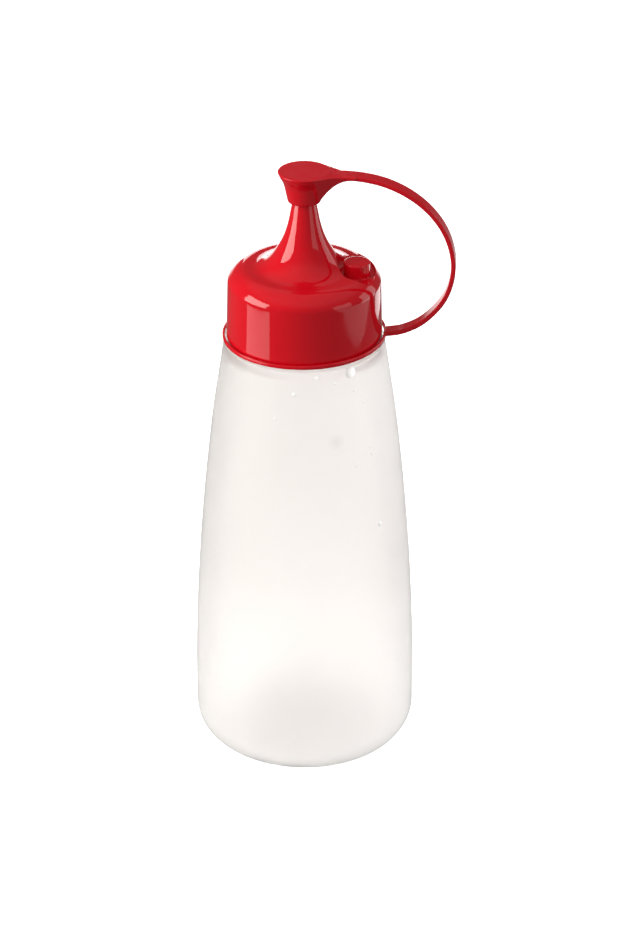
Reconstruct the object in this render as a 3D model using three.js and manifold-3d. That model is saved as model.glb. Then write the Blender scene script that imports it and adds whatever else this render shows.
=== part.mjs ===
// Squeeze bottle for sauce: translucent body, screw cap with a flared nozzle,
// and a one-piece tether (ring, strap and tip cap).
// Millimetres, +Z up, origin on the base plane at the bottle's axis.
import * as THREE from 'three';
import { mergeVertices } from 'three/addons/utils/BufferGeometryUtils.js';
import Module from 'manifold-3d';

// ---------------------------------------------------------------- sizes
const SEG = 56;                 // facets round the large turned shapes
const SEG_S = 36;               // facets round the small turned shapes

// body
const BODY_R = 35.0;            // widest radius
const HEEL_R = 10.6;            // rounded heel at the base
const BULGE_Z = 20;             // height where the taper starts
const TAPER_Z = 118;            // above this the taper is straight
const TAPER_DROP = 10.1;        // how far the curved taper would come in at TAPER_REF
const TAPER_REF = 122;
const TAPER_POW = 1.84;
const SHOULDER_Z = 140.3;       // flat shoulder that the cap and ring stand over
const SHOULDER_R = 25.0;
const SHOULDER_ROUND = 0.6;
const WALL = 1.2;
const FLOOR = 1.5;
const NECK_R = 21.9;
const NECK_WALL = 1.5;
const NECK_TOP = 159.8;

// cap
const SKIRT_Z = 140.7;
const SKIRT_R = 24.1;           // at the bottom of the skirt
// dome from the top of the skirt to its flat part: [radius, height]
const DOME = [[23.68, 159.2], [23.5, 160.25], [23.1, 161.1], [22.3, 162.15], [20.9, 163.35], [19.2, 164.2], [17.2, 164.4]];
const CAP_BORE_R = 22.4;
const CAP_CEILING = 161.65;
const CAP_WALL = 1.7;
const OUTLET_R = 1.3;
// flare from the dome to the nozzle: [radius, height]
const FLARE = [
  [17.2, 164.4], [14.6, 164.65], [12.0, 166.05], [9.9, 168.3], [7.9, 171.5],
  [6.85, 173.5], [5.85, 176.0], [4.85, 179.6], [4.28, 182.6], [3.55, 186.6], [3.2, 189.6], [2.95, 192.0],
];
const NOZZLE_TOP = 192.4;

// recess for the storage stud, cut in the flare on the +X side
const STUD_AZ = -3;             // degrees from +X
const RECESS_R = 9.8;
const RECESS_S = 19.4;          // distance of its centre from the axis
const RECESS_CORNER = 2.5;      // where the round cut meets the outer wall
const RECESS_RIM = 21.7;        // outer wall, concentric with the cap
const RECESS_Z = 161.8;
const STUD_S = 16.1;
const STUD_R = 4.1;
const STUD_TOP = 166.35;
const STUD_ROUND = 0.45;

// tether
const RING_IN = 24.55;
const RING_OUT = 25.35;
const RING_Z = 141.35;
const RING_H = 1.25;
const RING_TILT = 1.0;          // degrees, strap side up
const STRAP_W = 4.9;
const STRAP_T = 1.5;
const STRAP_ROUND = 0.35;
const STRAP_STEPS = 26;
// centreline of the strap from the tip cap over to the ring
const STRAP = [
  [7.00, -0.75, 194.95], [12.98, -1.28, 194.96], [18.92, -1.85, 194.44], [24.73, -2.49, 193.09],
  [30.18, -3.07, 190.70], [35.11, -3.36, 187.31], [39.31, -3.45, 183.03], [42.55, -3.27, 178.00],
  [44.65, -2.95, 172.40], [45.59, -2.57, 166.50], [45.04, -2.30, 160.55], [43.07, -2.06, 154.90],
  [39.64, -1.77, 150.01], [35.21, -1.39, 146.01], [29.85, -0.87, 143.39], [24.95, -0.35, 142.40],
];
const STRAP_AZ = -7.3;          // degrees from +X at the tip cap
// tip cap
const TIP_TOP = 196.0;
const TIP_LIP_R = 8.1;
const TIP_LIP_Z = 195.45;
const TIP_Z = 186.2;
const TIP_BORE_R = 4.05;
const TIP_BORE_TOP = 193.9;
// outside of the tip cap under its lip: [radius, height]
const TIP_SIDE = [[6.75, 193.0], [6.15, 191.4], [5.8, 189.7], [5.45, 188.1], [5.15, 186.7], [4.85, TIP_Z]];
const WEB_START = 4.6;          // the web between head and strap, along the strap
const WEB_END = 15.0;
const WEB_START_H = 6.64;       // half width and its slope where the web leaves the head
const WEB_START_SLOPE = -7.2;

// ---------------------------------------------------------------- helpers
const rad = (d) => (d * Math.PI) / 180;

const wasm = await Module();
wasm.setup();

// solid from any closed geometry: shared corners merged, empty triangles dropped, faces outward
function solid(geometry) {
  const g = geometry.clone();
  g.deleteAttribute('normal');
  g.deleteAttribute('uv');
  const merged = mergeVertices(g, 1e-4);
  const pos = merged.getAttribute('position').array;
  const tri = [];
  const all = merged.getIndex().array;
  let volume = 0;
  for (let i = 0; i < all.length; i += 3) {
    const [a, b, c] = [all[i], all[i + 1], all[i + 2]];
    if (a === b || b === c || c === a) continue;
    tri.push(a, b, c);
    const [A, B, C] = [a, b, c].map((k) => new THREE.Vector3().fromArray(pos, 3 * k));
    volume += A.dot(B.cross(C));
  }
  if (volume < 0) for (let i = 0; i < tri.length; i += 3) [tri[i + 1], tri[i + 2]] = [tri[i + 2], tri[i + 1]];
  return new wasm.Manifold(new wasm.Mesh({
    numProp: 3, vertProperties: new Float32Array(pos), triVerts: new Uint32Array(tri),
  }));
}

// turned shape about Z from a profile of [r, z] that starts and ends on the
// axis, or closes on itself
function turned(profile, seg) {
  return new THREE.LatheGeometry(profile.map(([r, z]) => new THREE.Vector2(r, z)), seg).rotateX(Math.PI / 2);
}

// shape lofted through sections, each a loop of the same number of points
function lofted(sections) {
  const pos = [];
  const idx = [];
  const m = sections[0].length;
  for (const s of sections) for (const p of s) pos.push(p.x, p.y, p.z);
  for (let i = 0; i < sections.length - 1; i++) {
    for (let k = 0; k < m; k++) {
      const a = i * m + k;
      const b = i * m + ((k + 1) % m);
      idx.push(a, b, a + m, b, b + m, a + m);
    }
  }
  for (const end of [0, sections.length - 1]) {
    const c = sections[end].reduce((s, p) => s.add(p), new THREE.Vector3()).divideScalar(m);
    pos.push(c.x, c.y, c.z);
    const ci = pos.length / 3 - 1;
    for (let k = 0; k < m; k++) {
      const a = end * m + k;
      const b = end * m + ((k + 1) % m);
      if (end === 0) idx.push(ci, b, a);
      else idx.push(ci, a, b);
    }
  }
  const g = new THREE.BufferGeometry();
  g.setAttribute('position', new THREE.BufferAttribute(new Float32Array(pos), 3));
  g.setIndex(idx);
  return g;
}

function mesh(name, body, material) {
  const m = body.getMesh();
  const g = new THREE.BufferGeometry();
  const p = new Float32Array(m.numVert * 3);
  for (let i = 0; i < m.numVert; i++) {
    for (let j = 0; j < 3; j++) p[3 * i + j] = m.vertProperties[m.numProp * i + j];
  }
  g.setAttribute('position', new THREE.BufferAttribute(p, 3));
  g.setIndex(new THREE.BufferAttribute(new Uint32Array(m.triVerts), 1));
  g.computeVertexNormals();
  const out = new THREE.Mesh(g, material);
  out.name = name;
  return out;
}

const arc = (cr, cz, r, a0, a1, n) => Array.from({ length: n + 1 }, (_, i) => {
  const a = rad(a0 + ((a1 - a0) * i) / n);
  return [cr + r * Math.cos(a), cz + r * Math.sin(a)];
});

// smooth curve through [r, z] stations
function smooth(stations, n) {
  const c = new THREE.CatmullRomCurve3(stations.map(([r, z]) => new THREE.Vector3(r, 0, z)), false, 'centripetal');
  return c.getPoints(n).map((p) => [p.x, p.z]);
}

// ---------------------------------------------------------------- bottle
const curveR = (z) => BODY_R - (z > BULGE_Z ? TAPER_DROP * ((z - BULGE_Z) / TAPER_REF) ** TAPER_POW : 0);
function bodyR(z) {
  if (z <= TAPER_Z) return curveR(z);
  const t = (z - TAPER_Z) / (SHOULDER_Z - SHOULDER_ROUND - TAPER_Z);
  return curveR(TAPER_Z) + (SHOULDER_R - curveR(TAPER_Z)) * t;
}
const bodyZ = [32, 50, 68, 86, 102, TAPER_Z];
const innerZ = [34, 78, TAPER_Z];
const bottleOuter = [
  [0, 0],
  ...arc(BODY_R - HEEL_R, HEEL_R, HEEL_R, -90, 0, 5),
  ...bodyZ.map((z) => [bodyR(z), z]),
  ...arc(SHOULDER_R - SHOULDER_ROUND, SHOULDER_Z - SHOULDER_ROUND, SHOULDER_ROUND, 0, 90, 2),
  [NECK_R, SHOULDER_Z],
  [NECK_R, NECK_TOP],
];
const heelIn = HEEL_R - WALL;
const bottleInner = [
  [NECK_R - NECK_WALL, NECK_TOP],
  [NECK_R - NECK_WALL, SHOULDER_Z - 2.2],
  [SHOULDER_R - WALL - 0.6, SHOULDER_Z - 4.4],
  ...innerZ.slice().reverse().map((z) => [bodyR(z) - WALL, z]),
  ...arc(BODY_R - WALL - heelIn, FLOOR + heelIn, heelIn, 0, -90, 3),
  [0, FLOOR],
];
const bottle = solid(turned([...bottleOuter, ...bottleInner], SEG));

// ---------------------------------------------------------------- cap
const capOuter = solid(turned([
  [0, SKIRT_Z],
  [SKIRT_R - 0.3, SKIRT_Z],
  [SKIRT_R, SKIRT_Z + 0.3],
  ...DOME,
  ...smooth(FLARE, 10).slice(1),
  [2.6, NOZZLE_TOP],
  [0, NOZZLE_TOP],
], SEG));
// inside: straight bore, ceiling, then the flare followed at one wall's distance
const capInner = solid(turned([
  [0, SKIRT_Z - 1],
  [CAP_BORE_R, SKIRT_Z - 1],
  [CAP_BORE_R, CAP_CEILING - 1.4],
  [CAP_BORE_R - 1.4, CAP_CEILING],
  [13.0, CAP_CEILING + 1.2],
  [10.4, CAP_CEILING + 3.2],
  [8.0, CAP_CEILING + 6.6],
  [6.0, CAP_CEILING + 10.2],
  [4.2, CAP_CEILING + 14.8],
  [3.0, CAP_CEILING + 19.4],
  [OUTLET_R, CAP_CEILING + 25.4],
  [OUTLET_R, NOZZLE_TOP + 1],
  [0, NOZZLE_TOP + 1],
], SEG_S));
// recess: a round cut bounded outside by a wall concentric with the cap, its corners rounded
function recess(grow) {
  const R = RECESS_R + grow;
  const rim = RECESS_RIM + grow;
  const c = RECESS_CORNER + grow;
  const cx = ((rim - c) ** 2 - (R - c) ** 2 + RECESS_S ** 2) / (2 * RECESS_S);
  const cy = Math.sqrt((rim - c) ** 2 - cx ** 2);
  const aRim = (Math.atan2(cy, cx) * 180) / Math.PI;
  const aCut = (Math.atan2(cy, cx - RECESS_S) * 180) / Math.PI;
  const plan = [
    ...arc(0, 0, rim, -aRim, aRim, 8),
    ...arc(cx, cy, c, aRim, aCut, 4).slice(1),
    ...arc(RECESS_S, 0, R, aCut, 360 - aCut, 16).slice(1),
    ...arc(cx, -cy, c, -aCut, -aRim, 4).slice(1, -1),
  ];
  const floor = RECESS_Z - grow;
  const outline = new THREE.Shape(plan.map(([x, y]) => new THREE.Vector2(x, y)));
  return solid(new THREE.ExtrudeGeometry(outline, { depth: 180 - floor, bevelEnabled: false })
    .translate(0, 0, floor).rotateZ(rad(STUD_AZ)));
}
const stud = solid(turned([
  [0, RECESS_Z - 0.5],
  [STUD_R, RECESS_Z - 0.5],
  ...arc(STUD_R - STUD_ROUND, STUD_TOP - STUD_ROUND, STUD_ROUND, 0, 90, 2),
  [0, STUD_TOP],
], SEG_S).translate(STUD_S, 0, 0).rotateZ(rad(STUD_AZ)));
const cap = capOuter.subtract(recess(0)).subtract(capInner.subtract(recess(CAP_WALL - 0.1))).add(stud);

// ---------------------------------------------------------------- tether
// ring: thin band round the foot of the skirt, tipped up on the strap side
const ringMid = RING_Z + RING_H / 2;
const ring = solid(turned([
  [RING_IN, RING_Z], [RING_OUT - 0.2, RING_Z], [RING_OUT, RING_Z + 0.25],
  [RING_OUT, RING_Z + RING_H - 0.25], [RING_OUT - 0.2, RING_Z + RING_H], [RING_IN, RING_Z + RING_H],
  [RING_IN, RING_Z],
], SEG).translate(0, 0, -ringMid).rotateY(-rad(RING_TILT)).translate(0, 0, ringMid));

// strap: a flat ribbon with rounded edges swept along its centreline
function ribbon(w, t, r) {
  const shape = new THREE.Shape();
  for (const [sx, sy, a0] of [[1, 1, 0], [-1, 1, 90], [-1, -1, 180], [1, -1, 270]]) {
    shape.absarc(sx * (t / 2 - r), sy * (w / 2 - r), r, rad(a0), rad(a0 + 90), false);
  }
  return shape;
}
const path = new THREE.CatmullRomCurve3(STRAP.map((p) => new THREE.Vector3(...p)), false, 'centripetal');
const strap = solid(new THREE.ExtrudeGeometry(ribbon(STRAP_W, STRAP_T, STRAP_ROUND), {
  steps: STRAP_STEPS, curveSegments: 2, bevelEnabled: false, extrudePath: path,
}));

// web: the tip cap's head draws out into the strap and the underside sweeps up to it
const dir = new THREE.Vector3(Math.cos(rad(STRAP_AZ)), Math.sin(rad(STRAP_AZ)), 0);
const side = new THREE.Vector3(-dir.y, dir.x, 0);
const up = new THREE.Vector3(0, 0, 1);
const ease = (t) => t * t * (3 - 2 * t);
const webSections = [];
for (let i = 0; i <= 10; i++) {
  const t = i / 10;
  const s = WEB_START + (WEB_END - WEB_START) * t;
  // the head's outline runs on from its circle and eases into the strap's edges
  const hTop = (1 - ease(t)) * WEB_START_H + t * (1 - t) ** 2 * WEB_START_SLOPE + ease(t) * (STRAP_W / 2 - 0.03);
  const hLow = STRAP_W / 2 - 0.03 + 0.85 * (1 - t) ** 2;
  const zTop = TIP_TOP - 0.03 - 0.4 * ease(t);
  const zLow = 194.05 - 7.5 * (1 - t) ** 2.25 + 0.22 * ease(t);
  const r = 0.35;
  const pts = [];
  const corner = (h, z, sgn, dz) => {
    for (const k of [0, 1, 2]) {
      const a = rad(45 * k);
      // walk round each corner, keeping the loop in one direction
      const cu = sgn * (h - r) + r * (dz > 0 === sgn > 0 ? sgn * Math.cos(a) : sgn * Math.sin(a));
      const cz = z - dz * r + r * dz * (dz > 0 === sgn > 0 ? Math.sin(a) : Math.cos(a));
      pts.push(new THREE.Vector3().addScaledVector(dir, s).addScaledVector(side, cu).addScaledVector(up, cz));
    }
  };
  corner(hTop, zTop, 1, 1);
  corner(hTop, zTop, -1, 1);
  // small ledge under the head, then down to the keel
  corner(hLow, zLow, -1, -1);
  corner(hLow, zLow, 1, -1);
  webSections.push(pts);
}
const web = solid(lofted(webSections));

const tipOuter = solid(turned([
  [0, TIP_TOP], [TIP_LIP_R - 0.35, TIP_TOP], [TIP_LIP_R, TIP_TOP - 0.3], [TIP_LIP_R - 0.06, TIP_LIP_Z],
  [7.55, 194.4], ...TIP_SIDE, [0, TIP_Z],
], SEG_S + 4));
const tipBore = solid(turned([
  [0, TIP_Z - 1], [TIP_BORE_R, TIP_Z - 1], [TIP_BORE_R, TIP_BORE_TOP - 0.8],
  [TIP_BORE_R - 0.8, TIP_BORE_TOP], [0, TIP_BORE_TOP],
], 24));
const tether = tipOuter.add(web).add(strap).subtract(tipBore).add(ring);

// ---------------------------------------------------------------- colours
const milky = new THREE.MeshStandardMaterial({ color: '#f3ece6', roughness: 0.42, metalness: 0, transparent: true, opacity: 0.72 });
const red = new THREE.MeshStandardMaterial({ color: '#c8181f', roughness: 0.18, metalness: 0 });
const redStrap = new THREE.MeshStandardMaterial({ color: '#cc1b22', roughness: 0.24, metalness: 0 });

const group = new THREE.Group();
group.name = 'sauce_squeeze_bottle';
group.add(mesh('bottle', bottle, milky));
group.add(mesh('cap', cap, red));
group.add(mesh('tether', tether, redStrap));

export default group;
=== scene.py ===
import math

import bmesh
import bpy
import numpy as np
from mathutils import Matrix, Vector


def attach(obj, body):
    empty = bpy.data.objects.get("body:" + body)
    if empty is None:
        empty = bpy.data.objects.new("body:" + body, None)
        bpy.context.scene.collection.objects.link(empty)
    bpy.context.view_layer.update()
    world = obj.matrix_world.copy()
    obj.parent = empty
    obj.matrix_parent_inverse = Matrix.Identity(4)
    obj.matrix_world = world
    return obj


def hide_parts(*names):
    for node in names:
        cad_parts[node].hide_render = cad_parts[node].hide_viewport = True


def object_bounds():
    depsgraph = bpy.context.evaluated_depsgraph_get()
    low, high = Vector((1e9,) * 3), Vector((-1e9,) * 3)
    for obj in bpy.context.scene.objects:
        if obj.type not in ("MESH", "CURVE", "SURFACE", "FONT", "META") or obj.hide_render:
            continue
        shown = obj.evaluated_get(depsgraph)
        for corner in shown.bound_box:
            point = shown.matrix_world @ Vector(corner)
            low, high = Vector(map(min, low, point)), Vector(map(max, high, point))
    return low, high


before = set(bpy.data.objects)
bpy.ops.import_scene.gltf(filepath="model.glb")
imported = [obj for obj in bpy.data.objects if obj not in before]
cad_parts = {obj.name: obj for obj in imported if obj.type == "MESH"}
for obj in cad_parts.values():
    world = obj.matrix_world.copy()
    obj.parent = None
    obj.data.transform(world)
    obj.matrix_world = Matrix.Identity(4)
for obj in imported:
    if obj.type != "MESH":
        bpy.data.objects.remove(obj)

cad_lo, cad_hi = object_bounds()
MM = 0.001
rad = math.radians

# ------------------------------------------------------------------ sizes (mm), as in the CAD
BODY_R, HEEL_R, BULGE_Z, TAPER_Z = 35.0, 10.6, 20.0, 118.0
TAPER_DROP, TAPER_REF, TAPER_POW = 10.1, 122.0, 1.84
SHOULDER_Z, SHOULDER_R, SHOULDER_ROUND = 140.3, 25.0, 0.6
WALL, FLOOR, NECK_R, NECK_WALL, NECK_TOP = 1.2, 1.5, 21.9, 1.5, 159.8
SKIRT_Z, SKIRT_R = 140.7, 24.1
DOME = [(23.685, 158.9), (23.66, 159.4), (23.6, 159.85), (23.5, 160.25), (23.33, 160.65), (23.05, 161.15), (22.45, 161.98), (21.6, 162.83),
        (20.36, 163.68), (19.3, 164.12), (18.2, 164.34), (17.0, 164.4)]
CAP_BORE_R, CAP_CEILING, CAP_WALL, OUTLET_R = 22.4, 161.65, 1.7, 1.3
FLARE = [(15.8, 164.45), (14.4, 164.72), (13.2, 165.25), (12.0, 166.05), (9.9, 168.3), (7.9, 171.5),
         (6.85, 173.5), (5.85, 176.0), (4.85, 179.6), (4.28, 182.6), (3.55, 186.6), (3.2, 189.6), (2.95, 192.0)]
NOZZLE_TOP = 192.4
STUD_AZ, RECESS_R, RECESS_S, RECESS_CORNER, RECESS_RIM = -3.0, 9.8, 19.4, 2.5, 21.7
RECESS_Z, STUD_S, STUD_R, STUD_TOP, STUD_ROUND = 161.8, 16.1, 4.1, 166.35, 0.45
RING_IN, RING_OUT, RING_Z, RING_H, RING_TILT = 24.55, 25.35, 141.35, 1.25, 1.0
STRAP_W, STRAP_T, STRAP_ROUND = 4.9, 1.5, 0.35
STRAP = [(7.00, -0.75, 194.95), (12.98, -1.28, 194.96), (18.92, -1.85, 194.44), (24.73, -2.49, 193.09),
         (30.18, -3.07, 190.70), (35.11, -3.36, 187.31), (39.31, -3.45, 183.03), (42.55, -3.27, 178.00),
         (44.65, -2.95, 172.40), (45.59, -2.57, 166.50), (45.04, -2.30, 160.55), (43.07, -2.06, 154.90),
         (39.64, -1.77, 150.01), (35.21, -1.39, 146.01), (29.85, -0.87, 143.39), (24.95, -0.35, 142.40)]
STRAP_AZ = -7.3
TIP_TOP, TIP_LIP_R, TIP_LIP_Z, TIP_Z, TIP_BORE_R, TIP_BORE_TOP = 196.0, 8.1, 195.45, 186.2, 4.05, 193.9
TIP_SIDE = [(7.55, 194.4), (6.75, 193.0), (6.15, 191.4), (5.8, 189.7), (5.45, 188.1), (5.15, 186.7)]
WEB_END = 15.0


# ------------------------------------------------------------------ helpers
def arc(cr, cz, r, a0, a1, n):
    return [(cr + r * math.cos(rad(a0 + (a1 - a0) * i / n)), cz + r * math.sin(rad(a0 + (a1 - a0) * i / n)))
            for i in range(n + 1)]


def catmull(points, per, end=True):
    """Centripetal Catmull-Rom curve through the points, per steps a span."""
    p = [np.array(q, float) for q in points]
    p = [2 * p[0] - p[1]] + p + [2 * p[-1] - p[-2]]
    out = []
    for i in range(1, len(p) - 2):
        t = [0.0]
        for a, b in ((p[i - 1], p[i]), (p[i], p[i + 1]), (p[i + 1], p[i + 2])):
            t.append(t[-1] + max(np.linalg.norm(b - a) ** 0.5, 1e-9))
        for k in range(per):
            u = t[1] + (t[2] - t[1]) * k / per
            a1 = (t[1] - u) / (t[1] - t[0]) * p[i - 1] + (u - t[0]) / (t[1] - t[0]) * p[i]
            a2 = (t[2] - u) / (t[2] - t[1]) * p[i] + (u - t[1]) / (t[2] - t[1]) * p[i + 1]
            a3 = (t[3] - u) / (t[3] - t[2]) * p[i + 1] + (u - t[2]) / (t[3] - t[2]) * p[i + 2]
            b1 = (t[2] - u) / (t[2] - t[0]) * a1 + (u - t[0]) / (t[2] - t[0]) * a2
            b2 = (t[3] - u) / (t[3] - t[1]) * a2 + (u - t[1]) / (t[3] - t[1]) * a3
            out.append((t[2] - u) / (t[2] - t[1]) * b1 + (u - t[1]) / (t[2] - t[1]) * b2)
    if end:
        out.append(p[-2])
    return out


def make(name, verts, faces):
    """Object at the origin from millimetre vertices, faces turned outwards."""
    me = bpy.data.meshes.new(name)
    me.from_pydata([tuple(c * MM for c in v) for v in verts], [], faces)
    bm = bmesh.new()
    bm.from_mesh(me)
    bmesh.ops.recalc_face_normals(bm, faces=bm.faces)
    bm.to_mesh(me)
    bm.free()
    me.validate()
    ob = bpy.data.objects.new(name, me)
    bpy.context.scene.collection.objects.link(ob)
    return ob


def lathe(name, profile, seg, shift=(0, 0, 0)):
    """Turned solid from (r, z) pairs. Points on the axis become one vertex; the profile closes on itself
    unless both ends are on the axis."""
    verts, rows = [], []
    for r, z in profile:
        if r < 1e-6:
            rows.append([len(verts)])
            verts.append((shift[0], shift[1], z + shift[2]))
        else:
            rows.append(list(range(len(verts), len(verts) + seg)))
            for k in range(seg):
                a = 2 * math.pi * k / seg
                verts.append((r * math.cos(a) + shift[0], r * math.sin(a) + shift[1], z + shift[2]))
    faces = []
    pairs = list(zip(rows[:-1], rows[1:]))
    if len(rows[0]) > 1 or len(rows[-1]) > 1:
        pairs.append((rows[-1], rows[0]))
    for a, b in pairs:
        for k in range(seg):
            q = (k + 1) % seg
            if len(a) == 1 and len(b) == 1:
                continue
            if len(a) == 1:
                faces.append((a[0], b[k], b[q]))
            elif len(b) == 1:
                faces.append((a[k], b[0], a[q]))
            else:
                faces.append((a[k], b[k], b[q], a[q]))
    return make(name, verts, faces)


def loft(name, sections):
    m = len(sections[0])
    verts = [p for s in sections for p in s]
    faces = []
    for i in range(len(sections) - 1):
        for k in range(m):
            q = (k + 1) % m
            faces.append((i * m + k, i * m + q, (i + 1) * m + q, (i + 1) * m + k))
    faces.append(tuple(range(m))[::-1])
    faces.append(tuple(range((len(sections) - 1) * m, len(sections) * m)))
    return make(name, verts, faces)


def applied(ob):
    dg = bpy.context.evaluated_depsgraph_get()
    me = bpy.data.meshes.new_from_object(ob.evaluated_get(dg))
    ob.modifiers.clear()
    old = ob.data
    ob.data = me
    bpy.data.meshes.remove(old)
    return ob


def joined(a, b, how):
    """a after a boolean with b; b is used up."""
    m = a.modifiers.new("b", "BOOLEAN")
    m.operation = how
    m.solver = "EXACT"
    m.object = b
    applied(a)
    bpy.data.objects.remove(b)
    bm = bmesh.new()
    bm.from_mesh(a.data)
    bmesh.ops.remove_doubles(bm, verts=bm.verts, dist=0.002 * MM)
    bmesh.ops.dissolve_degenerate(bm, edges=bm.edges, dist=0.001 * MM)
    bm.to_mesh(a.data)
    bm.free()
    return a


def smooth_shade(ob, angle):
    me = ob.data
    me.polygons.foreach_set("use_smooth", [True] * len(me.polygons))
    me.set_sharp_from_angle(angle=rad(angle))
    me.update()


# ------------------------------------------------------------------ body
def curve_r(z):
    return BODY_R - (TAPER_DROP * ((z - BULGE_Z) / TAPER_REF) ** TAPER_POW if z > BULGE_Z else 0)


def body_r(z):
    if z <= TAPER_Z:
        return curve_r(z)
    t = (z - TAPER_Z) / (SHOULDER_Z - SHOULDER_ROUND - TAPER_Z)
    return curve_r(TAPER_Z) + (SHOULDER_R - curve_r(TAPER_Z)) * t


outer = [(0, 0), (12, 0), (20, 0)] + arc(BODY_R - HEEL_R, HEEL_R, HEEL_R, -90, 0, 22)
outer += [(body_r(z), z) for z in np.linspace(13, TAPER_Z, 40)]
outer += [(body_r(z), z) for z in np.linspace(TAPER_Z + 3, SHOULDER_Z - SHOULDER_ROUND - 0.5, 8)]
outer += arc(SHOULDER_R - SHOULDER_ROUND, SHOULDER_Z - SHOULDER_ROUND, SHOULDER_ROUND, 0, 90, 6)
outer += [(NECK_R + 0.3, SHOULDER_Z), (NECK_R, SHOULDER_Z + 0.3), (NECK_R, NECK_TOP - 0.3), (NECK_R - 0.3, NECK_TOP)]
heel_in = HEEL_R - WALL
inner = [(NECK_R - NECK_WALL + 0.3, NECK_TOP), (NECK_R - NECK_WALL, NECK_TOP - 0.3),
         (NECK_R - NECK_WALL, SHOULDER_Z - 1.0)]
inner += [(p[0], p[1]) for p in catmull([(NECK_R - NECK_WALL, SHOULDER_Z - 1.0), (NECK_R - NECK_WALL + 0.6, SHOULDER_Z - 2.2),
                                         (body_r(134) - WALL - 0.15, 136.0), (body_r(132) - WALL, 132.0)], 4)][1:]
inner += [(body_r(z) - WALL, z) for z in np.linspace(130, 13, 44)]
inner += arc(BODY_R - WALL - heel_in, FLOOR + heel_in, heel_in, 0, -90, 20) + [(14, FLOOR), (0, FLOOR)]
body = lathe("bottle_body", outer + inner, 160)
smooth_shade(body, 50)
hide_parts("bottle")
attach(body, "root")


# ------------------------------------------------------------------ cap
upper = [(float(p[0]), float(p[1])) for p in catmull([(r, z) for r, z in DOME + FLARE], 5)]
FR = np.array([p[0] for p in upper[::-1]])
FZ = np.array([p[1] for p in upper[::-1]])


def top_z(r):
    """Height of the cap's upper surface at radius r."""
    return float(np.interp(r, FR, FZ))


def recess_sdf(x, y, grow=0.0):
    """Signed distance to the recess outline (mm) and the outward direction, in the stud's own axes."""
    R, rim, c = RECESS_R + grow, RECESS_RIM + grow, RECESS_CORNER + grow
    r1, r2 = rim - c, R - c
    cx = (r1 ** 2 - r2 ** 2 + RECESS_S ** 2) / (2 * RECESS_S)
    cy = math.sqrt(r1 ** 2 - cx ** 2)
    d1, d2 = math.hypot(x, y), math.hypot(x - RECESS_S, y)
    n1 = (x / d1, y / d1) if d1 else (1, 0)
    n2 = ((x - RECESS_S) / d2, y / d2) if d2 else (-1, 0)
    if d1 <= r1 and d2 <= r2:
        return (d1 - rim, n1) if d1 - r1 > d2 - r2 else (d2 - R, n2)
    if d1 > r1 and math.hypot(n1[0] * r1 - RECESS_S, n1[1] * r1) <= r2:
        return d1 - rim, n1
    if d2 > r2 and math.hypot(RECESS_S + n2[0] * r2, n2[1] * r2) <= r1:
        return d2 - R, n2
    ky = cy if y > 0 else -cy
    d = math.hypot(x - cx, y - ky)
    return d - c, ((x - cx) / d, (y - ky) / d)


def recess_outline(grow, dense=1):
    R, rim, c = RECESS_R + grow, RECESS_RIM + grow, RECESS_CORNER + grow
    cx = ((rim - c) ** 2 - (R - c) ** 2 + RECESS_S ** 2) / (2 * RECESS_S)
    cy = math.sqrt((rim - c) ** 2 - cx ** 2)
    a1 = math.degrees(math.atan2(cy, cx))
    a2 = math.degrees(math.atan2(cy, cx - RECESS_S))
    pts = arc(0, 0, rim, -a1, a1, 20 * dense) + arc(cx, cy, c, a1, a2, 8 * dense)[1:]
    pts += arc(RECESS_S, 0, R, a2, 360 - a2, 44 * dense)[1:] + arc(cx, -cy, c, -a2, -a1, 8 * dense)[1:-1]
    return pts


def prism(name, outline, z0, z1):
    """Straight prism of an outline that is given in the stud's own axes."""
    ca, sa = math.cos(rad(STUD_AZ)), math.sin(rad(STUD_AZ))
    n = len(outline)
    verts = [(x * ca - y * sa, x * sa + y * ca, z) for z in (z0, z1) for x, y in outline]
    faces = [(k, (k + 1) % n, n + (k + 1) % n, n + k) for k in range(n)]
    faces += [tuple(range(n))[::-1], tuple(range(n, 2 * n))]
    return make(name, verts, faces)


cap_profile = [(0, SKIRT_Z), (CAP_BORE_R - 1, SKIRT_Z), (SKIRT_R - 0.3, SKIRT_Z)]
cap_profile += arc(SKIRT_R - 0.3, SKIRT_Z + 0.3, 0.3, -90, 0, 4)[1:]
cap_profile += [(SKIRT_R + (DOME[0][0] - SKIRT_R) * t, SKIRT_Z + 0.3 + (DOME[0][1] - SKIRT_Z - 0.3) * t) for t in np.linspace(0.06, 0.98, 12)]
cap_profile += upper
cap_profile += arc(2.95 - 0.35, NOZZLE_TOP - 0.35, 0.35, 20, 90, 4) + [(0, NOZZLE_TOP)]
cap = lathe("cap_shell", cap_profile, 224)

LIP, FOOT = 0.42, 0.3
joined(cap, prism("cut", recess_outline(LIP), RECESS_Z, 200), "DIFFERENCE")
ca, sa = math.cos(rad(-STUD_AZ)), math.sin(rad(-STUD_AZ))
bm = bmesh.new()
bm.from_mesh(cap.data)
gone = []
for f in bm.faces:
    c = f.calc_center_median() / MM
    if c.z > RECESS_Z - 0.05 and recess_sdf(c.x * ca - c.y * sa, c.x * sa + c.y * ca, LIP)[0] < 0.004:
        gone.append(f)
bmesh.ops.delete(bm, geom=gone, context="FACES")
edges = [e for e in bm.edges if len(e.link_faces) == 1]
loop = [edges[0].verts[0], edges[0].verts[1]]
left = set(edges[1:])
while left:
    e = next((e for e in loop[-1].link_edges if e in left), None)
    if e is None:
        break
    left.discard(e)
    v = e.other_vert(loop[-1])
    if v is loop[0]:
        break
    loop.append(v)
rows = [loop]
place = []
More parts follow.
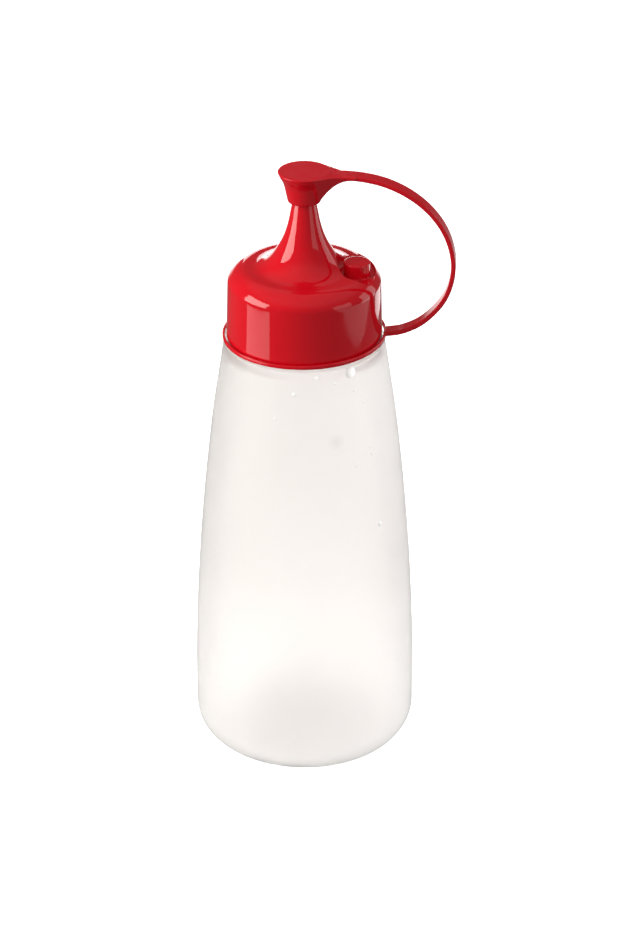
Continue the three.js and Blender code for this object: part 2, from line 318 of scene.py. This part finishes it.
for v in loop:
    p = v.co / MM
    x, y = p.x * ca - p.y * sa, p.x * sa + p.y * ca
    place.append((x, y, recess_sdf(x, y, LIP)[1]))
steps = []
for k in range(1, 9):
    a = rad(90 * k / 8)
    steps.append(("lip", LIP * math.sin(a), LIP * (1 - math.cos(a))))
for k in range(1, 4):
    steps.append(("wall", LIP, k / 3))
for k in range(1, 5):
    a = rad(90 * k / 4)
    steps.append(("foot", LIP + FOOT * (1 - math.cos(a)), FOOT * (1 - math.sin(a))))
for kind, inset, h in steps:
    row = []
    for x, y, n in place:
        X, Y = x - n[0] * inset, y - n[1] * inset
        edge_z = top_z(math.hypot(x - n[0] * LIP, y - n[1] * LIP)) - LIP
        if kind == "lip":
            z = top_z(math.hypot(X, Y)) - h
        elif kind == "wall":
            z = edge_z + (RECESS_Z + FOOT - edge_z) * h
        else:
            z = RECESS_Z + h
        row.append(bm.verts.new(((X * ca + Y * sa) * MM, (-X * sa + Y * ca) * MM, z * MM)))
    rows.append(row)
m = len(loop)
for a, b in zip(rows[:-1], rows[1:]):
    for k in range(m):
        bm.faces.new((a[k], a[(k + 1) % m], b[(k + 1) % m], b[k]))
bm.faces.new(rows[-1])
bmesh.ops.recalc_face_normals(bm, faces=bm.faces)
bm.to_mesh(cap.data)
bm.free()

# stud with a small fillet at its foot
st = rad(STUD_AZ)
stud_profile = [(0, RECESS_Z - 0.4), (STUD_R + 0.35, RECESS_Z - 0.4), (STUD_R + 0.35, RECESS_Z)]
stud_profile += [(STUD_R + 0.35 - 0.35 * math.sin(rad(a)), RECESS_Z + 0.35 - 0.35 * math.cos(rad(a))) for a in (20, 45, 70, 90)]
stud_profile += [(STUD_R, STUD_TOP - 2), (STUD_R, STUD_TOP - STUD_ROUND - 0.2)]
stud_profile += arc(STUD_R - STUD_ROUND, STUD_TOP - STUD_ROUND, STUD_ROUND, 0, 90, 8) + [(2.0, STUD_TOP), (0, STUD_TOP)]
joined(cap, lathe("stud", stud_profile, 96, (STUD_S * math.cos(st), STUD_S * math.sin(st), 0)), "UNION")

cavity_top = [(13.0, CAP_CEILING + 1.2), (10.4, CAP_CEILING + 3.2), (8.0, CAP_CEILING + 6.6), (6.0, CAP_CEILING + 10.2),
              (4.2, CAP_CEILING + 14.8), (3.0, CAP_CEILING + 19.4), (OUTLET_R, CAP_CEILING + 25.4)]
cavity = [(0, SKIRT_Z - 1), (CAP_BORE_R, SKIRT_Z - 1)] + [(CAP_BORE_R, z) for z in np.linspace(SKIRT_Z + 3, CAP_CEILING - 1.6, 5)]
cavity += arc(CAP_BORE_R - 1.4, CAP_CEILING - 1.4, 1.4, 0, 90, 5) + [(16.5, CAP_CEILING + 0.3)]
cavity += [(float(p[0]), float(p[1])) for p in catmull(cavity_top, 3)] + [(OUTLET_R, NOZZLE_TOP + 1), (0, NOZZLE_TOP + 1)]
hollow = lathe("hollow", cavity, 96)
joined(hollow, prism("pocket", recess_outline(CAP_WALL - 0.1), RECESS_Z - CAP_WALL + 0.1, 200), "DIFFERENCE")
joined(cap, hollow, "DIFFERENCE")
smooth_shade(cap, 32)
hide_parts("cap")
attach(cap, "root")


# ------------------------------------------------------------------ tether
def rounded(w, t, r, n=4):
    """Ribbon section, thickness along the first axis and width along the second."""
    pts = []
    for sx, sy, a0 in ((1, 1, 0), (-1, 1, 90), (-1, -1, 180), (1, -1, 270)):
        pts += arc(sx * (t / 2 - r), sy * (w / 2 - r), r, a0, a0 + 90, n)
    return pts


path = catmull(STRAP, 6)
sections = []
total = len(path) - 1
for i, p in enumerate(path):
    t = path[min(i + 1, total)] - path[max(i - 1, 0)]
    t = t / np.linalg.norm(t)
    f = i / total
    a = rad(np.interp(f, [0, 0.6, 1], [7.3, 4.7, 3.1]))
    w = np.array([math.sin(a), math.cos(a), 0.0])
    w -= t * w.dot(t)
    w /= np.linalg.norm(w)
    h = np.cross(w, t)
    if i == total:
        p = p + np.array([0.12, 0, 0])
    sections.append([tuple(p + h * x + w * y) for x, y in rounded(STRAP_W, STRAP_T, STRAP_ROUND)])
strap = loft("tether_loop", sections)

mid = RING_Z + RING_H / 2
ring_profile = []
for cr, cz, a0 in ((RING_OUT - 0.25, RING_Z + RING_H - 0.25, 0), (RING_IN + 0.15, RING_Z + RING_H - 0.15, 90),
                   (RING_IN + 0.15, RING_Z + 0.15, 180), (RING_OUT - 0.25, RING_Z + 0.25, 270)):
    ring_profile += arc(cr, cz - mid, 0.25 if a0 in (0, 270) else 0.15, a0, a0 + 90, 4)
ring = lathe("ring", ring_profile, 224)
ring.data.transform(Matrix.Translation((0, 0, mid * MM)) @ Matrix.Rotation(rad(-RING_TILT), 4, "Y"))

# web between the tip cap's head and the strap
d = np.array([math.cos(rad(STRAP_AZ)), math.sin(rad(STRAP_AZ)), 0.0])
s_ = np.array([-d[1], d[0], 0.0])
u_ = np.array([0, 0, 1.0])


def ease(t):
    t = min(1.0, max(0.0, t))
    return t * t * (3 - 2 * t)


web_sections = []
for i in range(41):
    s = 4.0 + (WEB_END + 0.8 - 4.0) * i / 40
    t = min(1.0, max(0.0, (s - 4.6) / (WEB_END - 4.6)))
    h_top = (1 - ease(t)) * 6.64 - t * (1 - t) ** 2 * 7.2 + ease(t) * (STRAP_W / 2 - 0.02)
    if s < 4.6:
        h_top = math.sqrt(TIP_LIP_R ** 2 - s * s) - 0.03
    h_low = STRAP_W / 2 - 0.02 + 0.85 * (1 - t) ** 2
    z_top = TIP_TOP - 0.01 - 0.52 * ease(t)
    z_low = 194.05 - 7.5 * (1 - t) ** 2.25 + 0.22 * ease(t)
    r = 0.34
    pts = []
    for h, z, sg, dz, a0 in ((h_top, z_top, 1, 1, 0), (h_top, z_top, -1, 1, 90), (h_low, z_low, -1, -1, 180), (h_low, z_low, 1, -1, 270)):
        for k in range(5):
            a = rad(a0 + 22.5 * k)
            pts.append(tuple(d * s + s_ * (sg * (h - r) + r * math.cos(a)) + u_ * (z - dz * r + r * math.sin(a))))
    web_sections.append(pts)
web = loft("web", web_sections)

tip_profile = [(0, TIP_TOP), (4, TIP_TOP)] + arc(TIP_LIP_R - 0.32, TIP_TOP - 0.32, 0.32, 90, -20, 7)
tip_profile += [(float(p[0]), float(p[1])) for p in catmull([(TIP_LIP_R - 0.14, TIP_LIP_Z + 0.05)] + TIP_SIDE, 4)]
tip_profile += [(4.95, TIP_Z), (0, TIP_Z)]
tip = lathe("tip", tip_profile, 128)
tip_bore = lathe("tip_bore", [(0, TIP_Z - 1), (TIP_BORE_R + 0.2, TIP_Z - 1), (TIP_BORE_R + 0.2, TIP_Z), (TIP_BORE_R, TIP_Z + 0.3)]
                 + [(TIP_BORE_R, TIP_BORE_TOP - 0.8), (TIP_BORE_R - 0.8, TIP_BORE_TOP), (0, TIP_BORE_TOP)], 96)
joined(tip, web, "UNION")
joined(tip, strap, "UNION")
joined(tip, tip_bore, "DIFFERENCE")
joined(tip, ring, "UNION")
tether = tip
tether.name = "tether_moulding"

# moulded in one piece: remeshed, then the joins are smoothed
rm = tether.modifiers.new("r", "REMESH")
rm.mode = "VOXEL"
rm.voxel_size = 0.17 * MM
rm.adaptivity = 0.0
applied(tether)
me = tether.data
n = len(me.vertices)
co = np.zeros(n * 3)
me.vertices.foreach_get("co", co)
co = co.reshape(-1, 3)
ed = np.zeros(len(me.edges) * 2, int)
me.edges.foreach_get("vertices", ed)
ed = ed.reshape(-1, 2)
deg = np.bincount(ed.ravel(), minlength=n).astype(float)[:, None]


def mean_of_neighbours(c):
    out = np.empty_like(c)
    for k in range(3):
        out[:, k] = np.bincount(ed[:, 0], c[ed[:, 1], k], n) + np.bincount(ed[:, 1], c[ed[:, 0], k], n)
    return out / deg


def laplace(c, w):
    return c + w * (mean_of_neighbours(c) - c)


# how much each point is smoothed: a little everywhere, more where the web meets the tip cap
mm = co / MM
along = mm @ d
rr = np.hypot(mm[:, 0], mm[:, 1])
near = np.clip((along - 1.0) / 3.5, 0, 1) * np.clip((18.5 - along) / 3, 0, 1) * np.clip((mm[:, 2] - 185.8) / 1.0, 0, 1) * (rr > 4.6)
near = (near * np.clip((rr - 4.4) / 1.0, 0, 1))[:, None]
for _ in range(6):
    co = laplace(co, 0.5)
    co = laplace(co, -0.53)
tri = [f.vertices[:] for f in me.polygons]
quad = np.array([t if len(t) == 4 else (*t, t[-1]) for t in tri])


def normals(c):
    q = np.cross(c[quad[:, 2]] - c[quad[:, 0]], c[quad[:, 3]] - c[quad[:, 1]])
    out = np.zeros_like(c)
    for k in range(4):
        for j in range(3):
            out[:, j] += np.bincount(quad[:, k], q[:, j], n)
    return out / np.maximum(np.linalg.norm(out, axis=1), 1e-20)[:, None]


for _ in range(40):
    move = mean_of_neighbours(co) - co
    nn = normals(co)
    outward = np.clip((move * nn).sum(1), 0, None)[:, None]
    co = co + 0.9 * near * outward * nn
for _ in range(4):
    co = laplace(co, 0.5)
    co = laplace(co, -0.53)
co[:, 2] = np.minimum(co[:, 2], cad_hi.z)
co[:, 0] = np.minimum(co[:, 0], cad_hi.x)
me.vertices.foreach_set("co", co.ravel())
me.update()
me.polygons.foreach_set("use_smooth", [True] * len(me.polygons))
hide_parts("tether")
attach(tether, "root")


# ------------------------------------------------------------------ water droplets on the body
# azimuth, height, radius in millimetres, how far it stands off
DROPS = [(-56.1, 138.5, 1.75, 0.95), (-81.9, 138.6, 0.6, 0.3), (-68.5, 136.1, 0.46, 0.25), (-54.2, 132.4, 0.6, 0.32),
         (-47.8, 127.8, 0.44, 0.24), (-96.9, 133.3, 0.72, 0.38), (-109.1, 125.0, 0.5, 0.22), (-44.5, 110.4, 0.58, 0.3),
         (-56.9, 108.1, 0.4, 0.2), (-59.0, 109.4, 0.3, 0.16), (-42.3, 86.1, 0.76, 0.4), (-46.0, 112.6, 0.3, 0.16)]
verts, faces = [], []
NA, NR = 28, 9
for az, z0, r0, high in DROPS:
    a0 = rad(az)
    tang = np.array([-math.sin(a0), math.cos(a0), 0.0])
    slope = (body_r(z0 + 0.5) - body_r(z0 - 0.5))
    rise = np.array([math.cos(a0) * slope, math.sin(a0) * slope, 1.0])
    rise /= np.linalg.norm(rise)
    normal = np.cross(tang, rise)
    centre = np.array([math.cos(a0) * body_r(z0), math.sin(a0) * body_r(z0), z0])
    start = len(verts)
    for top in (True, False):
        for i in range(NR + (1 if top else 0)):
            f = i / NR if top else i / NR
            for k in range(NA):
                b = 2 * math.pi * k / NA
                # the lower edge bulges, the upper one is drawn out
                sag = 1 - 0.12 * math.sin(b)
                rr_ = r0 * f * sag
                p = centre + tang * rr_ * math.cos(b) + rise * (rr_ * math.sin(b) * (1.12 if math.sin(b) > 0 else 1.0))
                rad_here = math.hypot(p[0], p[1])
                skin = body_r(p[2]) if p[2] < SHOULDER_Z - 0.6 else SHOULDER_R
                p[:2] *= (skin - 0.12) / rad_here
                if top:
                    p = p + normal * (0.12 + high * (1 - f * f) ** 0.62 * (1 - 0.25 * f * math.sin(b)) - 0.02 * f)
                verts.append(tuple(p))
    t0, b0 = start, start + (NR + 1) * NA
    for i in range(NR):
        for k in range(NA):
            q = (k + 1) % NA
            faces.append((t0 + i * NA + k, t0 + i * NA + q, t0 + (i + 1) * NA + q, t0 + (i + 1) * NA + k))
    for i in range(NR - 1):
        for k in range(NA):
            q = (k + 1) % NA
            faces.append((b0 + i * NA + k, b0 + (i + 1) * NA + k, b0 + (i + 1) * NA + q, b0 + i * NA + q))
    for k in range(NA):
        q = (k + 1) % NA
        faces.append((b0 + (NR - 1) * NA + k, t0 + NR * NA + k, t0 + NR * NA + q, b0 + (NR - 1) * NA + q))
drops = make("water_droplets", verts, faces)
bm = bmesh.new()
bm.from_mesh(drops.data)
bmesh.ops.remove_doubles(bm, verts=bm.verts, dist=1e-7)
bmesh.ops.dissolve_degenerate(bm, edges=bm.edges, dist=1e-8)
bmesh.ops.recalc_face_normals(bm, faces=bm.faces)
bm.to_mesh(drops.data)
bm.free()
smooth_shade(drops, 60)
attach(drops, "root")


# ------------------------------------------------------------------ materials
class Net:
    def __init__(self, name):
        self.mat = bpy.data.materials.new(name)
        self.mat.use_nodes = True
        self.nt = self.mat.node_tree
        self.p = self.nt.nodes["Principled BSDF"]
        self.coord = self.nt.nodes.new("ShaderNodeTexCoord")

    def node(self, kind, **sets):
        n = self.nt.nodes.new(kind)
        for k, v in sets.items():
            if k in n.inputs:
                n.inputs[k].default_value = v
            else:
                setattr(n, k, v)
        return n

    def link(self, a, b):
        self.nt.links.new(a, b)

    def noise(self, scale, detail=3.0, rough=0.5, stretch=None):
        src = self.coord.outputs["Object"]
        if stretch:
            mp = self.node("ShaderNodeMapping")
            mp.inputs["Scale"].default_value = stretch
            self.link(src, mp.inputs["Vector"])
            src = mp.outputs["Vector"]
        n = self.node("ShaderNodeTexNoise", Scale=scale, Detail=detail, Roughness=rough)
        self.link(src, n.inputs["Vector"])
        return n.outputs["Fac"]

    def span(self, fac, lo, hi, a=0.3, b=0.7):
        n = self.node("ShaderNodeMapRange")
        n.inputs["From Min"].default_value = a
        n.inputs["From Max"].default_value = b
        n.inputs["To Min"].default_value = lo
        n.inputs["To Max"].default_value = hi
        self.link(fac, n.inputs["Value"])
        return n.outputs["Result"]

    def mix(self, fac, c1, c2):
        n = self.nt.nodes.new("ShaderNodeMix")
        n.data_type = "RGBA"
        self.link(fac, n.inputs["Factor"])
        for i, c in ((6, c1), (7, c2)):
            if isinstance(c, tuple):
                n.inputs[i].default_value = (*c, 1.0)
            else:
                self.link(c, n.inputs[i])
        return n.outputs[2]

    def bump(self, pairs):
        """pairs of (height output, strength, distance), chained."""
        last = None
        for h, strength, dist in pairs:
            b = self.nt.nodes.new("ShaderNodeBump")
            b.inputs["Strength"].default_value = strength
            b.inputs["Distance"].default_value = dist
            self.link(h, b.inputs["Height"])
            if last is not None:
                self.link(last, b.inputs["Normal"])
            last = b.outputs["Normal"]
        self.link(last, self.p.inputs["Normal"])


def red_plastic(name, dark, light, rough, ripple):
    m = Net(name)
    m.link(m.mix(m.span(m.noise(38, 4), 0, 1), dark, light), m.p.inputs["Base Color"])
    m.link(m.span(m.noise(210, 3), rough - 0.02, rough + 0.045), m.p.inputs["Roughness"])
    m.p.inputs["IOR"].default_value = 1.5
    # slow moulding ripples and a very fine grain
    m.bump([(m.noise(60, 1.0), ripple, 0.0006), (m.noise(900, 2.0), 0.05, 0.00004)])
    return m.mat


body_mat = Net("milky_plastic")
m = body_mat
cloud = m.span(m.noise(22, 4, 0.55), 0, 1)
# painted light and shade: the body's colour is lighter near the bottom and darker higher up, evening out how the lamps
# light it
xyz = m.nt.nodes.new("ShaderNodeSeparateXYZ")
m.link(m.coord.outputs["Object"], xyz.inputs[0])
height = m.span(xyz.outputs["Z"], 0, 1, 0.010, 0.072)
wall = m.mix(height, m.mix(cloud, (0.952, 0.934, 0.920), (0.968, 0.953, 0.941)), m.mix(cloud, (0.826, 0.806, 0.792), (0.846, 0.827, 0.814)))
# a faint grey smear at the upper front
off = m.nt.nodes.new("ShaderNodeVectorMath")
off.operation = "DISTANCE"
m.link(m.coord.outputs["Object"], off.inputs[0])
off.inputs[1].default_value = tuple(c * MM for c in (9.7, -26.6, 117.5))
smear = m.span(off.outputs["Value"], 0.45, 0.0, 0.0, 3.0 * MM)
m.link(m.mix(smear, wall, (0.58, 0.56, 0.56)), m.p.inputs["Base Color"])
m.link(m.span(m.noise(120, 4), 0.40, 0.50), m.p.inputs["Roughness"])
m.p.inputs["IOR"].default_value = 1.3
m.p.inputs["Transmission Weight"].default_value = 0.86
m.bump([(m.noise(45, 2), 0.15, 0.0008), (m.noise(1400, 3), 0.10, 0.00004)])
body.data.materials.clear()
body.data.materials.append(m.mat)

cap.data.materials.clear()
cap.data.materials.append(red_plastic("red_cap_plastic", (0.60, 0.003, 0.0105), (0.65, 0.0042, 0.0125), 0.05, 0.03))
tether.data.materials.clear()
tether.data.materials.append(red_plastic("red_strap_plastic", (0.60, 0.0035, 0.012), (0.66, 0.005, 0.014), 0.10, 0.10))

w = Net("water")
w.link(w.mix(w.span(w.noise(260), 0, 1), (0.86, 0.845, 0.83), (0.88, 0.87, 0.855)), w.p.inputs["Base Color"])
w.p.inputs["IOR"].default_value = 1.4
w.link(w.span(w.noise(300), 0.02, 0.06), w.p.inputs["Roughness"])
w.p.inputs["Transmission Weight"].default_value = 0.0
# painted light: the droplets glow faintly, a lift in brightness that stands in for light
w.p.inputs["Emission Color"].default_value = (1.0, 0.985, 0.965, 1)
w.p.inputs["Emission Strength"].default_value = 0.07
drops.data.materials.clear()
drops.data.materials.append(w.mat)


# ------------------------------------------------------------------ stage, light, camera
bpy.ops.mesh.primitive_plane_add(size=14, location=(0, 0, -0.00015))
floor = bpy.context.object
floor.name = "studio_floor"
f = Net("floor_white")
f.link(f.mix(f.noise(3), (0.80, 0.80, 0.80), (0.82, 0.82, 0.82)), f.p.inputs["Base Color"])
f.p.inputs["Roughness"].default_value = 0.9
f.p.inputs["Specular IOR Level"].default_value = 0.1
f.p.inputs["Emission Color"].default_value = (1, 1, 1, 1)
f.p.inputs["Emission Strength"].default_value = 0.92
floor.data.materials.append(f.mat)
floor.visible_glossy = False
floor.visible_diffuse = False

# soft fill from all round; what gloss sees is darker, and lighter behind
world = bpy.data.worlds.new("studio")
bpy.context.scene.world = world
world.use_nodes = True
nt = world.node_tree
bg = nt.nodes["Background"]
tc = nt.nodes.new("ShaderNodeTexCoord")
sep = nt.nodes.new("ShaderNodeSeparateXYZ")
nt.links.new(tc.outputs["Generated"], sep.inputs[0])


def ramp(src, a, b, lo, hi):
    n = nt.nodes.new("ShaderNodeMapRange")
    n.interpolation_type = "SMOOTHSTEP"
    for k, v in (("From Min", a), ("From Max", b), ("To Min", lo), ("To Max", hi)):
        n.inputs[k].default_value = v
    nt.links.new(src, n.inputs["Value"])
    return n.outputs["Result"]


bg.inputs["Color"].default_value = (1, 1, 1, 1)
nt.links.new(ramp(sep.outputs["Z"], -0.3, 0.35, 0.13, 0.55), bg.inputs["Strength"])
dim = nt.nodes.new("ShaderNodeBackground")
dim.inputs["Color"].default_value = (1, 0.98, 0.97, 1)

# low behind the object gloss sees the white table
table = nt.nodes.new("ShaderNodeMath")
table.operation = "MULTIPLY"
nt.links.new(ramp(sep.outputs["Y"], 0.86, 0.98, 0.0, 2.6), table.inputs[0])
nt.links.new(ramp(sep.outputs["Z"], -0.10, 0.06, 1.0, 0.0), table.inputs[1])
both = nt.nodes.new("ShaderNodeMath")
both.operation = "ADD"
nt.links.new(table.outputs[0], both.inputs[0])
nt.links.new(ramp(sep.outputs["Y"], 0.5, 0.9, 0.17, 0.12), both.inputs[1])
rest = nt.nodes.new("ShaderNodeMath")
rest.operation = "ADD"
nt.links.new(both.outputs[0], rest.inputs[0])
nt.links.new(ramp(sep.outputs["Z"], 0.5, 0.8, 0.0, 0.22), rest.inputs[1])
nt.links.new(rest.outputs[0], dim.inputs["Strength"])
lp = nt.nodes.new("ShaderNodeLightPath")
mx = nt.nodes.new("ShaderNodeMixShader")
nt.links.new(lp.outputs["Is Glossy Ray"], mx.inputs[0])
nt.links.new(bg.outputs[0], mx.inputs[1])
nt.links.new(dim.outputs[0], mx.inputs[2])
white = nt.nodes.new("ShaderNodeBackground")
white.inputs["Strength"].default_value = 1.0
mc = nt.nodes.new("ShaderNodeMixShader")
nt.links.new(lp.outputs["Is Camera Ray"], mc.inputs[0])
nt.links.new(mx.outputs[0], mc.inputs[1])
nt.links.new(white.outputs[0], mc.inputs[2])
nt.links.new(mc.outputs[0], nt.nodes["World Output"].inputs["Surface"])


def softbox(name, az, el, dist, w_, h_, radiance, colour=(1, 1, 1), only=None, gloss=True):
    """Area light at an azimuth from the front (-Y), right positive, facing the cap."""
    target = Vector((0, 0, 0.15))
    a, e = rad(az), rad(el)
    way = Vector((math.sin(a) * math.cos(e), -math.cos(a) * math.cos(e), math.sin(e)))
    data = bpy.data.lights.new(name, "AREA")
    data.shape = "RECTANGLE"
    data.size, data.size_y = w_, h_
    data.energy = radiance * math.pi * w_ * h_
    data.color = colour
    ob = bpy.data.objects.new(name, data)
    ob.location = target + way * dist
    ob.rotation_euler = way.to_track_quat("Z", "Y").to_euler()
    bpy.context.scene.collection.objects.link(ob)
    ob.visible_camera = False
    ob.visible_glossy = gloss
    if only:
        lit = bpy.data.collections.new(name + "_lit")
        for piece in only:
            lit.objects.link(piece)
        ob.light_linking.receiver_collection = lit
    return ob


softbox("left_box", -75, 11, 1.0, 0.72, 0.70, 6.2, (1, 0.985, 0.93))
softbox("right_box", 57, 8, 1.0, 0.50, 0.60, 0.9)
softbox("right_side", 108, 3, 1.0, 0.60, 0.84, 1.3)
softbox("back_wall", 182, 3, 1.5, 0.56, 0.80, 3.4)
softbox("left_low", -71, -23.5, 0.34, 0.23, 0.035, 1.7)
softbox("right_table", 86, -18, 0.36, 0.54, 0.07, 0.6)
softbox("right_low", 140, -20, 0.38, 0.16, 0.055, 2.2)
softbox("top_fill", -58, 50, 1.0, 0.6, 0.6, 1.9, gloss=False)
# light off the white table, for the milky body alone
softbox("table_front", 25, -23, 0.37, 0.34, 0.05, 7.0, only=(body, drops), gloss=False)
softbox("right_fill", 80, -2, 0.8, 0.4, 0.5, 7.5, only=(body, drops), gloss=False)

cam_data = bpy.data.cameras.new("camera")
cam_data.sensor_width = 36
cam_data.lens = 135
cam_data.clip_start, cam_data.clip_end = 0.05, 50
camera = bpy.data.objects.new("camera", cam_data)
camera.location = (0.00189, -0.97205, 0.61208)
camera.rotation_euler = (rad(62), 0, 0)
bpy.context.scene.collection.objects.link(camera)
bpy.context.scene.camera = camera
bpy.context.scene.view_settings.view_transform = "Standard"
bpy.context.scene.view_settings.look = "None"
